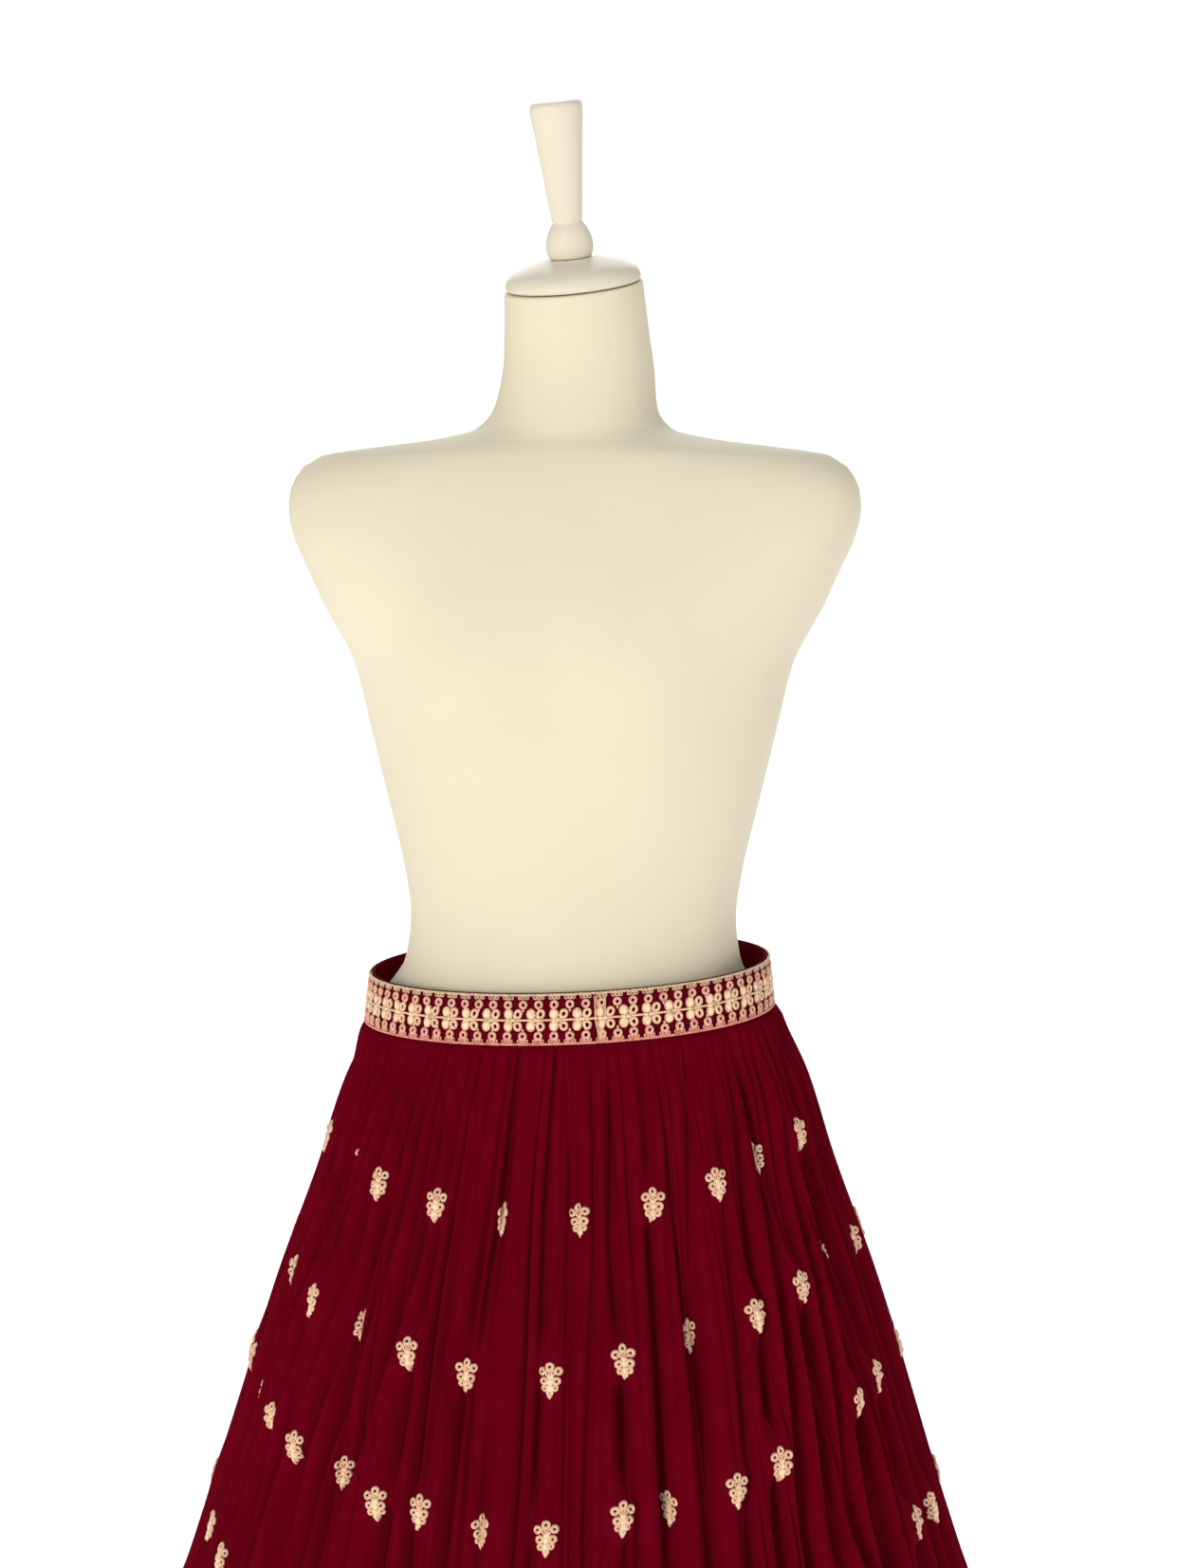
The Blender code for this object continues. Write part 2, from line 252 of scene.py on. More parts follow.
# Looks.
def clothLook(name, dark, light, streak, roughness):
    # Soft sheer cloth: faint long streaks down the drop over a very fine crinkled weave.
    look, tree, shader = newLook(name, Roughness=roughness, Sheen_Weight=0.02, Sheen_Roughness=0.5,
                                 Sheen_Tint=(0.85, 0.02, 0.08, 1), Specular_IOR_Level=0.01)
    where = addNode(tree, "ShaderNodeTexCoord").outputs["UV"]
    long = addNode(tree, "ShaderNodeMapping", {"Vector": where}, Scale=(streak, 6, 1)).outputs[0]
    crease = addNode(tree, "ShaderNodeTexNoise", {"Vector": long}, Scale=1.0, Detail=3.0, Roughness=0.55)
    weave = addNode(tree, "ShaderNodeTexNoise", {"Vector": where}, Scale=1400.0, Detail=2.0)
    broad = addNode(tree, "ShaderNodeTexNoise", {"Vector": where}, Scale=9.0, Detail=3.0)
    tone = addNode(tree, "ShaderNodeMath", {0: crease.outputs["Fac"], 1: broad.outputs["Fac"]},
                   operation="ADD")
    ramp = colourRamp(tree, tone.outputs[0], [(0.70, dark), (1.30, light)])
    tree.links.new(ramp.outputs[0], shader.inputs["Base Color"])
    long = addNode(tree, "ShaderNodeBump", {"Height": crease.outputs["Fac"]}, Strength=0.30, Distance=0.0010)
    fine = addNode(tree, "ShaderNodeBump", {"Height": weave.outputs["Fac"], "Normal": long.outputs[0]},
                   Strength=0.30, Distance=0.00015)
    tree.links.new(fine.outputs[0], shader.inputs["Normal"])
    return look


def threadLook(name, dark, light, roughness, metallic, scale=900.0, patch=260.0):
    # Wound thread: colour and relief change over each strand, and its tone from patch to patch.
    look, tree, shader = newLook(name, Metallic=metallic, Specular_IOR_Level=0.35)
    where = addNode(tree, "ShaderNodeTexCoord").outputs["Object"]
    wound = addNode(tree, "ShaderNodeTexNoise", {"Vector": where}, Scale=scale, Detail=2.0)
    broad = addNode(tree, "ShaderNodeTexNoise", {"Vector": where}, Scale=patch, Detail=1.0)
    tone = addNode(tree, "ShaderNodeMath", {0: wound.outputs["Fac"], 1: broad.outputs["Fac"]},
                   operation="ADD")
    ramp = colourRamp(tree, tone.outputs[0], [(0.75, dark), (1.25, light)])
    tree.links.new(ramp.outputs[0], shader.inputs["Base Color"])
    rough = addNode(tree, "ShaderNodeMapRange", {"Value": wound.outputs["Fac"]},
                    **{"To Min": roughness - 0.12, "To Max": roughness + 0.12})
    tree.links.new(rough.outputs[0], shader.inputs["Roughness"])
    bump = addNode(tree, "ShaderNodeBump", {"Height": wound.outputs["Fac"]}, Strength=0.6, Distance=0.0004)
    tree.links.new(bump.outputs[0], shader.inputs["Normal"])
    return look


def paintLook(name, dark, light, roughness, relief, scale):
    # Smooth pale surface with a faint change of tone and a very fine relief.
    look, tree, shader = newLook(name, Specular_IOR_Level=0.25)
    where = addNode(tree, "ShaderNodeTexCoord").outputs["Object"]
    broad = addNode(tree, "ShaderNodeTexNoise", {"Vector": where}, Scale=6.0, Detail=4.0)
    fine = addNode(tree, "ShaderNodeTexNoise", {"Vector": where}, Scale=scale, Detail=2.0)
    ramp = colourRamp(tree, broad.outputs["Fac"], [(0.3, dark), (0.7, light)])
    tree.links.new(ramp.outputs[0], shader.inputs["Base Color"])
    rough = addNode(tree, "ShaderNodeMapRange", {"Value": fine.outputs["Fac"]},
                    **{"To Min": roughness - 0.06, "To Max": roughness + 0.06})
    tree.links.new(rough.outputs[0], shader.inputs["Roughness"])
    bump = addNode(tree, "ShaderNodeBump", {"Height": fine.outputs["Fac"]}, Strength=0.25, Distance=relief)
    tree.links.new(bump.outputs[0], shader.inputs["Normal"])
    return look


skirtLook = clothLook("skirtCloth", (0.096, 0.0003, 0.0046, 1), (0.132, 0.0005, 0.0078, 1), 260.0, 0.90)
beltLook = clothLook("beltCloth", (0.085, 0.0010, 0.0050, 1), (0.120, 0.0014, 0.0080, 1), 200.0, 0.85)
threadPale = threadLook("threadPale", (0.68, 0.345, 0.235, 1), (0.84, 0.55, 0.355, 1), 0.50, 0.0)
threadPink = threadLook("threadPink", (0.60, 0.235, 0.170, 1), (0.80, 0.42, 0.300, 1), 0.55, 0.0)
threadGold = threadLook("threadGold", (0.74, 0.47, 0.28, 1), (0.92, 0.70, 0.45, 1), 0.42, 0.0)
threadTan = threadLook("threadTan", (0.42, 0.27, 0.155, 1), (0.68, 0.47, 0.30, 1), 0.50, 0.0)
threadRose = threadLook("threadRose", (0.56, 0.135, 0.105, 1), (0.76, 0.29, 0.21, 1), 0.55, 0.0)
sequinLook = threadLook("sequin", (0.46, 0.40, 0.17, 1), (0.80, 0.72, 0.42, 1), 0.30, 0.30, 260.0, 120.0)
formLook = paintLook("formCream", (0.725, 0.655, 0.482, 1), (0.755, 0.690, 0.512, 1), 0.60, 0.0002, 900.0)
capLook = paintLook("capCream", (0.705, 0.645, 0.505, 1), (0.735, 0.675, 0.535, 1), 0.38, 0.0001, 300.0)
standLook = paintLook("standCream", (0.66, 0.61, 0.49, 1), (0.70, 0.65, 0.53, 1), 0.38, 0.0001, 500.0)
print("looks made")

# The form.
formValues = {"columns": 128, "bodyRows": 80, "neckFrom": 1.42, "neckRows": 56, "cutRows": 16,
              "rimRows": 7, "rim": 0.0016}


def buildForm(v):
    # Rows up the form: x, y = formOutline(z, a); the last ones blend to the sloping cut and round over it.
    foot, neckEnd = formLevels[0, 0], formLevels[-1, 0]
    angle = np.linspace(-math.pi, math.pi, v["columns"], endpoint=False)[None, :]
    z = np.concatenate([np.linspace(foot, v["neckFrom"], v["bodyRows"], endpoint=False),
                        np.linspace(v["neckFrom"], neckEnd, v["neckRows"])])[:, None]
    x, y = formOutline(z, angle)
    body = np.stack([x, y, z + 0 * x], axis=-1)
    nx, ny = outline(neckCut["half"], neckCut["front"], neckCut["back"], 2.0, angle)

    def onCut(x, y, lower):
        # Points on the cut's plane, a little lower where the rim is rounded.
        return np.stack([x + neckShift, y, neckTop + neckSlopeX * x + neckSlopeY * y - lower], axis=-1)

    share = np.linspace(0, 1, v["cutRows"])[1:, None, None]
    neck = body[-1:] * (1 - share) + onCut(nx, ny, v["rim"]) * share
    turn = np.linspace(0, math.pi / 2, v["rimRows"])[1:]
    rim = [onCut(*outward(nx, ny, -v["rim"] * (1 - math.cos(t))), v["rim"] * (1 - math.sin(t)))
           for t in turn]
    rows = np.concatenate([body, neck] + rim)
    n, m = rows.shape[:2]
    ends = np.array([[0, 0, foot], [neckShift, 0, rows[-1, :, 2].mean()]])
    return putMesh("formBody", np.concatenate([rows.reshape(-1, 3), ends]), gridQuads(n, m, True), formLook,
                   ["form_torso"], "form_cream", tris=endFans(n, m), sharp=50)


buildForm(formValues)


def turnedPiece(name, profile, steps, columns, look, node, slot, matrix=None):
    # Points (r cos a, r sin a, h) round the axis, with r(s), h(s) curves along the profile.
    profile = np.array(profile)
    along = np.concatenate([[0], np.cumsum(np.hypot(*np.diff(profile, axis=0).T))])
    s = np.linspace(0, along[-1], steps)
    h, r = curveThrough(along, profile[:, 0], s), curveThrough(along, profile[:, 1], s)
    a = np.linspace(-math.pi, math.pi, columns, endpoint=False)
    rows = np.stack([np.outer(r, np.cos(a)), np.outer(r, np.sin(a)), np.outer(h, np.ones(columns))], -1)
    points = np.concatenate([rows.reshape(-1, 3), [[0, 0, h[0]], [0, 0, h[-1]]]])
    if matrix is not None:
        points = points @ np.array(matrix.to_3x3()).T + np.array(matrix.translation)
    return putMesh(name, points, gridQuads(steps, columns, True), look, node, slot,
                   tris=endFans(steps, columns), sharp=50)


# Profiles of the turned pieces: height, radius.
neckAxis = (Matrix.Translation((neckShift, 0, neckTop))
            @ Matrix.Rotation(-math.atan(neckSlopeX), 4, "Y")
            @ Matrix.Rotation(math.atan(neckSlopeY), 4, "X"))
capProfile = [(0.0006, 0.0466), (0.0009, 0.0476), (0.0020, 0.0485), (0.0036, 0.0487), (0.0075, 0.0474),
              (0.0120, 0.0426), (0.0152, 0.0352), (0.0175, 0.0265), (0.0190, 0.0200), (0.0199, 0.0174),
              (0.0200, 0.0165)]
turnedPiece("neckCap", capProfile, 40, 96, capLook, ["neck_cap"], "cap_cream",
            neckAxis @ Matrix.Translation((0, 0, gap)))
finialProfile = [(0.0000, 0.0142), (0.0012, 0.0153), (0.0045, 0.0164), (0.0085, 0.0169), (0.0130, 0.0163),
                 (0.0195, 0.0139), (0.0233, 0.0117), (0.0245, 0.0107), (0.0252, 0.0104), (0.0270, 0.0108),
                 (0.0480, 0.0130), (0.0870, 0.0169), (0.0995, 0.0184), (0.1048, 0.0187), (0.1074, 0.0182),
                 (0.1090, 0.0168), (0.1096, 0.0152)]
turnedPiece("handle", finialProfile, 80, 64, capLook, ["finial"], "cap_cream",
            neckAxis @ Matrix.Translation((0, 0, capProfile[-1][0] + 2 * gap)))
footProfile = [(0.0, 0.1970), (0.0008, 0.1992), (0.0022, 0.2000), (0.0068, 0.2000), (0.0088, 0.1988),
               (0.0100, 0.1950), (0.0130, 0.0600), (0.0160, 0.0320), (0.0285, 0.0250), (0.0305, 0.0242),
               (0.0320, 0.0220)]
turnedPiece("foot", footProfile, 60, 96, standLook, ["stand_base"], "stand_cream_metal")
pole = next(o for o in bpy.data.objects if o.name.startswith("stand_pole"))
pole.data.materials.clear()
pole.data.materials.append(standLook)
print("form made")

# The skirt.
skirtValues = {
    "folds": 54, "columnsPerFold": 14, "rows": 96, "rowCrowding": 1.25,
    # Widths differ in slow waves too, and a valley grows with its fold's width up to the widest.
    "crowding": 0.24, "widest": 1.3,
    # A valley's sharpness, the reach of its two flanks in fold widths, and how much that differs.
    "valleySharp": 1.7, "steep": 0.28, "slope": 0.56, "lean": 0.16,
    # How far a valley strays, how much of a dying one goes, and the depths of dying and lasting ones.
    "stray": 0.30, "dieOut": 0.75, "dyingDepth": 0.8, "lastingDepth": 1.55, "deepest": 1.35,
    # Slow sideways sway in degrees, puckers at the belt and how fast they fade.
    "wander": 0.35, "puckers": 0.0006, "puckerFade": 0.07,
    # The cloth's top tucks in under the belt, and its hem turns under.
    "topTuck": 0.007, "tuckIn": 0.0016, "clear": 0.0015, "hemFold": 0.0012, "hemUp": 0.35,
    # Round a sprig the cloth is held flat, or a valley runs through it.
    "calm": 0.85, "calmWide": 0.012, "calmTall": 0.019, "dent": 0.010, "dentWide": 0.0055, "dentTall": 0.07,
}
# Long creases seen on the front: angle at the belt, in the middle, below, start, end, depth mm, width mm.
creases = np.array([
    (-51.9, -57.1, -60.2, 0.00, 0.98, 7.5, 5.5), (-27.7, -30.0, -37.0, 0.00, 0.98, 9.5, 6.5),
    (-33.5, -36.0, -43.0, 0.00, 0.85, 10.0, 5.5), (-61.8, -66.2, -67.6, 0.00, 0.90, 6.0, 5.5),
    (-72.4, -74.3, -71.9, 0.00, 0.98, 7.0, 6.0), (-85.0, -82.3, -82.3, 0.00, 0.90, 5.0, 5.0),
    (-14.0, -15.0, -15.6, 0.02, 0.98, 10.5, 7.5), (-38.1, -43.0, -48.0, 0.00, 0.98, 9.5, 6.5),
    (-55.9, -63.0, -64.5, 0.02, 0.50, 3.0, 4.5), (-44.5, -49.0, -54.0, 0.00, 0.80, 6.0, 5.0),
    (-18.5, -18.5, -25.8, 0.03, 0.98, 10.5, 7.5), (-78.3, -77.0, -77.3, 0.00, 0.60, 3.0, 4.5),
    (-8.0, -9.5, -9.8, 0.04, 0.95, 8.5, 6.5), (-23.0, -25.5, -31.5, 0.06, 0.98, 9.0, 5.5),
    (-3.0, -4.0, -4.5, 0.06, 0.95, 6.0, 6.0), (-88.0, -87.0, -88.5, 0.05, 0.90, 4.0, 5.0),
])
# How the creases go: repeats round the skirt (degrees, strength), the drops of their three angles, their
# depth and width down the drop, the width of each flank, and how they fade at both ends.
creaseValues = {
    "repeats": ((0, 1.0), (-97, 0.8), (-180, 0.9), (-262, 0.8)), "bends": (0, 0.13, 0.33, 1),
    "deepen": ((0, 0.06, 0.2, 0.4, 1), (0.30, 0.90, 1.7, 2.2, 2.4)),
    "widen": ((0, 0.2, 0.4, 1), (0.6, 0.95, 1.25, 1.8)),
    "leftFlank": 1.45, "rightFlank": 0.50, "fadeIn": 0.03, "fadeOut": 0.25,
}
# Rows of sprigs: drop at the front, how far the sides rise, count round the skirt, angle of the first.
sprigRows = np.array([
    (0.108, 0.030, 22, -81.2), (0.206, 0.045, 26, -86.6), (0.306, 0.061, 36, -75.2),
    (0.425, 0.078, 39, -82.0), (0.530, 0.092, 43, -88.0), (0.635, 0.104, 47, -84.0),
    (0.740, 0.112, 50, -80.0), (0.845, 0.100, 54, -86.0), (0.945, 0.060, 58, -83.0),
])


def sprigSpots():
    # Panel, drop, angle round the axis, tilt, part, and whether it lies in a valley, as each third one does.
    # A row rises to the sides: low = drop - lift cos^2(angle).
    rng = np.random.default_rng(5)
    spots = []
    for number, (drop, lift, count, first) in enumerate(sprigRows):
        count = int(count)
        stray, tilt = rng.uniform(-1.2, 1.2, count), rng.uniform(-0.10, 0.10, count)
        for k in range(count):
            angle = math.radians(first + 360 * k / count + stray[k])
            low = drop - lift * math.cos(angle) ** 2
            turned = math.atan2(math.sin(angle) * 0.9, math.cos(angle))
            spots.append((0 if turned < 0 else 1, low, turned, tilt[k], number // 5, (k + number) % 3 == 0))
    return spots


spots = sprigSpots()


def foldRows(panel, share, v):
    # Width and valley depth of each fold at each level; a valley grows with the narrower fold beside it.
    order = np.arange(v["folds"])
    table = foldTable[(order * (5 + 2 * panel) + 3 * panel) % len(foldTable)]
    crowd = 1.0 + v["crowding"] * np.sin(0.61 * order + 1.7 * panel)
    width = (table[:, 0] + (table[:, 1] - table[:, 0]) * share) * crowd
    before = np.concatenate([np.ones((len(share), 1)), width[:, :-1]], 1)
    least = np.minimum(np.minimum(width, before), v["widest"])
    return width, (table[:, 2] + (table[:, 3] - table[:, 2]) * share) * least


def foldProfile(panel, share, drop, v):
    # Place across the panel, 0 to 1, and depth of each column: flanks (1 - p / reach)^sharp at its valleys.
    folds, per = v["folds"], v["columnsPerFold"]
    width, valley = foldRows(panel, share, v)
    rng = np.random.default_rng(11 + panel)
    # Each valley strays a little from its straight line, and some die out on the way down.
    phase, pace, leaning, ends = rng.uniform(0, 1, (4, folds + 1))
    stray = v["stray"] * np.sin(2 * math.pi * (phase + (0.5 + pace) * share)) * np.minimum(1, drop / 0.15)
    start = np.concatenate([np.zeros_like(share), np.cumsum(width, 1)], 1)
    room = np.minimum(np.concatenate([width, width[:, -1:]], 1), np.concatenate([width[:, :1], width], 1))
    start[:, 1:-1] += (stray * room)[:, 1:-1]
    dies = (np.arange(folds + 1) * 7 + panel) % 10 < 4
    lasting = 1 - v["dieOut"] * dies * np.clip((drop - 0.05 - 0.45 * ends) / 0.16, 0, 1)
    swell = 0.86 + 0.30 * np.sin(2 * math.pi * (pace + (0.6 + 0.8 * phase) * share))
    depth = np.where(dies, v["dyingDepth"], v["lastingDepth"])
    valley = np.concatenate([valley, np.ones_like(share)], 1) * lasting * swell * depth
    valley[:, [0, -1]] = 1.0
    fold, p = np.repeat(np.arange(folds), per), np.tile(np.arange(per) / per, folds)
    place = (start[:, fold] + np.diff(start, axis=1)[:, fold] * p) / start[:, -1:]
    # A flank runs from its valley to the crest; the two beside a valley differ, so that folds lean.
    tilt = v["lean"] * (2 * leaning - 1)
    left = np.clip(1 - p / (v["steep"] + tilt[fold]), 0, 1) ** v["valleySharp"]
    right = np.clip(1 - (1 - p) / (v["slope"] - tilt[fold + 1]), 0, 1) ** v["valleySharp"]
    low = valley[:, fold] * left + valley[:, fold + 1] * right
    last = np.ones_like(share)
    return np.concatenate([place, last], 1), np.concatenate([low, last], 1)


def skirtGrid(panel, v):
    # Outer points: outline(levels(drop), angle) moved in by the depths of folds, creases and puckers.
    share = (np.linspace(0, 1, v["rows"]) ** v["rowCrowding"])[:, None]
    drop = share * skirtLength
    place, low = foldProfile(panel, share, drop, v)
    inset = gap / 2 / curveThrough(skirtLevels[:, 0], skirtLevels[:, 1], drop)
    sway = np.radians(v["wander"]) * np.sin(math.pi * place) * (
        np.sin(7 * place * math.pi + 9 * drop + panel) + 0.7 * np.sin(19 * place * math.pi - 14 * drop))
    angle = -math.pi * (1 - panel) + inset + (math.pi - 2 * inset) * place + sway * np.minimum(1, drop / 0.1)
    w, f, b, depth = (curveThrough(skirtLevels[:, 0], skirtLevels[:, k], drop) for k in (1, 2, 3, 4))
    x, y = outline(w, f, b, 2.0, angle)
    top = beltBottom - 1.5 * gap + beltRise(*beltLine(angle[0]))
    z = top + (hemHeight - top) * share
    # The cloth stays outside the form, and its valleys stay off it.
    formFoot = formLevels[0, 0]
    formReach = np.hypot(*formOutline(z, angle))
    need = formReach + clothWall + v["deepest"] * depth + gap + ease - np.hypot(x, y)
    x, y = outward(x, y, np.where(z > formFoot, np.maximum(0, need), 0))
    sunk = np.clip(low, 0, 1.4) * depth + creaseDepth(angle, drop, np.hypot(x, y), creaseValues)
    ripple = (np.sin(place * v["folds"] * 2 * math.pi * 2.7 + 3 * np.sin(place * 40))
              + np.sin(place * v["folds"] * 2 * math.pi * 1.63))
    sunk = sunk + v["puckers"] * (1 + 0.5 * ripple) * np.exp(-drop / v["puckerFade"])
    sunk = nearSprigs(sunk, panel, np.arctan2(y, x), drop, np.hypot(x, y), v)
    most = np.hypot(x, y) - (formReach + v["clear"])
    sunk = np.where(z > formFoot - 0.01, np.minimum(sunk, most), sunk)
    x, y = outward(x, y, -sunk)
    # The top few millimetres curve in under the belt's lower edge.
    bx, by = outward(*beltLine(angle[0]), v["tuckIn"])
    tuck = 1 - np.sqrt(np.clip(1 - np.clip(1 - drop / v["topTuck"], 0, 1) ** 2, 0, 1))
    x, y = x + (bx - x) * tuck, y + (by - y) * tuck
    return np.stack([x, y, z], -1), drop[:, 0]


def creaseDepth(angle, drop, reach, v):
    # Sum of soft troughs: depth exp(-(distance across / width)^1.4), fading at both ends.
    total = np.zeros_like(angle)
    grow, widen = np.interp(drop, *v["deepen"]), np.interp(drop, *v["widen"])
    for turn, strength in v["repeats"]:
        for topA, midA, lowA, first, last, deep, wide in creases:
            middle = np.interp(drop[:, 0], v["bends"], [topA, midA, lowA, lowA])[:, None] + turn
            apart = (np.degrees(angle) - middle + 180) % 360 - 180
            across = np.radians(apart) * reach
            fade = (np.clip((drop - first) / v["fadeIn"], 0, 1)
                    * np.clip((last - drop) / v["fadeOut"], 0, 1))
            broad = wide * 0.001 * widen * np.where(across < 0, v["leftFlank"], v["rightFlank"])
            total += strength * deep * 0.001 * grow * fade * np.exp(-np.abs(across / broad) ** 1.4)
    return total


def nearSprigs(sunk, panel, angle, drop, reach, v):
    # Stitches hold the cloth flat: depth (1 - calm e), e = exp(-(a^2 + b^2)^2); or a valley runs through.
    for where, low, turned, _, _, inValley in spots:
        if where != panel:
            continue
        across, down = (angle - turned) * reach, drop - low
        if inValley:
            valley = np.exp(-np.abs(across / v["dentWide"]) ** 1.4 - (down / v["dentTall"]) ** 2)
            sunk = sunk + v["dent"] * valley
        else:
            near = np.exp(-((across / v["calmWide"]) ** 2 + (down / v["calmTall"]) ** 2) ** 2)
            sunk = sunk * (1 - v["calm"] * near)
    return sunk


skirtGrids = []
for panel, name in enumerate(("skirtFront", "skirtBack")):
    grid, drops = skirtGrid(panel, skirtValues)
    steps = np.linalg.norm(np.diff(grid, axis=1), axis=-1)
    across = np.concatenate([np.zeros((len(grid), 1)), np.cumsum(steps, 1)], 1)
    across -= across[:, across.shape[1] // 2][:, None]
    uv = np.stack([across, np.repeat(-drops[:, None], grid.shape[1], 1)], -1)
    normals = gridNormals(grid)
    # The hem turns in and back up inside.
    turnIn = grid[-1] - normals[-1] * [skirtValues["hemFold"], skirtValues["hemFold"], 0]
    turnUp = turnIn + (grid[-4] - grid[-1]) * skirtValues["hemUp"]
    rows = np.concatenate([grid, turnIn[None], turnUp[None]])
    uvRows = np.concatenate([uv, uv[-1:], uv[-1:]])
    piece = putMesh(name, rows.reshape(-1, 3), gridQuads(*rows.shape[:2])[:, ::-1], skirtLook,
                    [("skirt_front", "skirt_back")[panel]], "skirt_maroon", uvRows.reshape(-1, 2))
    skirtGrids.append((grid, normals, across, drops))
print("skirt made")

# The belt.
beltValues = {"steps": 420, "pathSteps": 1441, "corner": 5, "round": 0.0008, "faceIn": 0.0004,
              "thinner": 0.0002}


def beltPath():
    # The belt's outer lower edge, closed, with the distance round it from the -X side.
    angle = np.linspace(-math.pi, math.pi, beltValues["pathSteps"])
    x, y = outward(*beltLine(angle), beltWall)
    return angle, x, y, np.concatenate([[0], np.cumsum(np.hypot(np.diff(x), np.diff(y)))])


beltAngle, beltX, beltY, beltRound = beltPath()
beltGirth = beltRound[-1]


def onBelt(s, t, h):
    # Point s metres round the belt, t metres above its lower edge, h metres off its face.
    x, y = np.interp(s, beltRound, beltX), np.interp(s, beltRound, beltY)
    lean = 1 - beltLean * t / beltHeight
    x, y = outward(x * lean, y * lean, h)
    return np.stack([x, y, beltBottom + t + beltRise(x, y)], -1)


def buildBelt(name, first, last, node, v):
    # A closed band: its section, a flat rectangle with round corners, swept round the belt.
    s = np.linspace(first + gap / 2, last - gap / 2, v["steps"])[:, None]
    r, deep = v["round"], v["thinner"] - beltWall
    a = np.linspace(0, math.pi / 2, v["corner"])
    # Corners in turn: at the top or not, at the face or not, quarter turn.
    corners = ((0, 0, -1), (0, 1, 0), (1, 1, 1), (1, 0, 2))
    t = np.concatenate([(beltHeight - r if up else r) + r * np.sin(a + q * math.pi / 2)
                        for up, out, q in corners])
    h = np.concatenate([(-r if out else deep + r) + r * np.cos(a + q * math.pi / 2)
                        for up, out, q in corners])
    rows = onBelt(s + 0 * t, t + 0 * s, h - v["faceIn"] + 0 * s)
    n, m = rows.shape[:2]
    ends = np.stack([rows[0].mean(0), rows[-1].mean(0)])
    along = np.cumsum(np.r_[0, np.hypot(np.diff(t), np.diff(h))])
    uv = np.stack([s + 0 * t, along + 0 * s], -1).reshape(-1, 2)
    return putMesh(name, np.concatenate([rows.reshape(-1, 3), ends]), gridQuads(n, m, True)[:, ::-1],
                   beltLook, [node], "belt_embroidered", np.concatenate([uv, uv[[0, -1]]]),
                   tris=endFans(n, m)[:, ::-1], sharp=60)


for name, first, last, node in (("beltFront", 0.0, beltGirth / 2, "belt_front"),
                                ("beltBack", beltGirth / 2, beltGirth, "belt_back")):
    piece = buildBelt(name, first, last, node, beltValues)
print("belt made")

# Embroidery.
def ring(cx, cy, rx, ry, tilt, tube, lift, major=12, minor=4):
    # Torus in (s, t, h): centre + R(tilt) ((rx + w cos b) cos a, (ry + w cos b) sin a), h = w sin b.
    a, b = np.meshgrid(np.arange(major) / major * 2 * math.pi, np.arange(minor) / minor * 2 * math.pi,
                       indexing="ij")
    u, w = (rx + tube * np.cos(b)) * np.cos(a), (ry + tube * np.cos(b)) * np.sin(a)
    c, s = math.cos(tilt), math.sin(tilt)
    points = np.stack([cx + c * u - s * w, cy + s * u + c * w, lift + tube * np.sin(b)], -1).reshape(-1, 3)
    return points, tubeQuads(major, minor)


def dome(cx, cy, rx, ry, tilt, height, sides=10):
    # Low dome: rim at h = 0, steep at first, then nearly flat up to its top.
    a = np.arange(sides) / sides * 2 * math.pi
    c, s = math.cos(tilt), math.sin(tilt)
    levels = ((1.0, 0.0), (0.92, 0.6), (0.55, 0.93), (0.001, 1.0))
    points = np.concatenate([np.stack([cx + k * (c * rx * np.cos(a) - s * ry * np.sin(a)),
                                       cy + k * (s * rx * np.cos(a) + c * ry * np.sin(a)),
                                       np.full(sides, height * q)], -1) for k, q in levels])
    return points, gridQuads(len(levels), sides, True)


def strand(points, tube, sides=4):
    # Tube along a path in (s, t, h), pulled to a point at each end.
    points = np.array(points, float)
    ahead = np.gradient(points, axis=0)
    side = np.stack([-ahead[:, 1], ahead[:, 0], 0 * ahead[:, 0]], -1)
    side /= np.maximum(np.linalg.norm(side, axis=1, keepdims=True), 1e-9)
    size = np.full(len(points), tube)
    size[[0, -1]] = tube * 0.15
    a = np.arange(sides) / sides * 2 * math.pi
    out = (points[:, None] + side[:, None] * (np.cos(a)[None, :, None] * size[:, None, None])
           + np.array([0, 0, 1.0]) * (np.sin(a)[None, :, None] * size[:, None, None]))
    return out.reshape(-1, 3), gridQuads(len(points), sides, True)


def join(parts):
    # One mesh from several (points, quads), each one's corners counted on from the last's.
    points, quads, base = [], [], 0
    for p, q in parts:
        points.append(p)
        quads.append(q + base)
        base += len(p)
    return np.concatenate(points), np.concatenate(quads)


def repeated(motif, places):
    # Copies of one motif at (s, t) places, still in belt or cloth metres.
    p, q = motif
    points = p[None] + np.concatenate([places, np.zeros((len(places), 1))], 1)[:, None]
    quads = q[None] + (np.arange(len(places)) * len(p))[:, None, None]
    return points.reshape(-1, 3), quads.reshape(-1, 4)


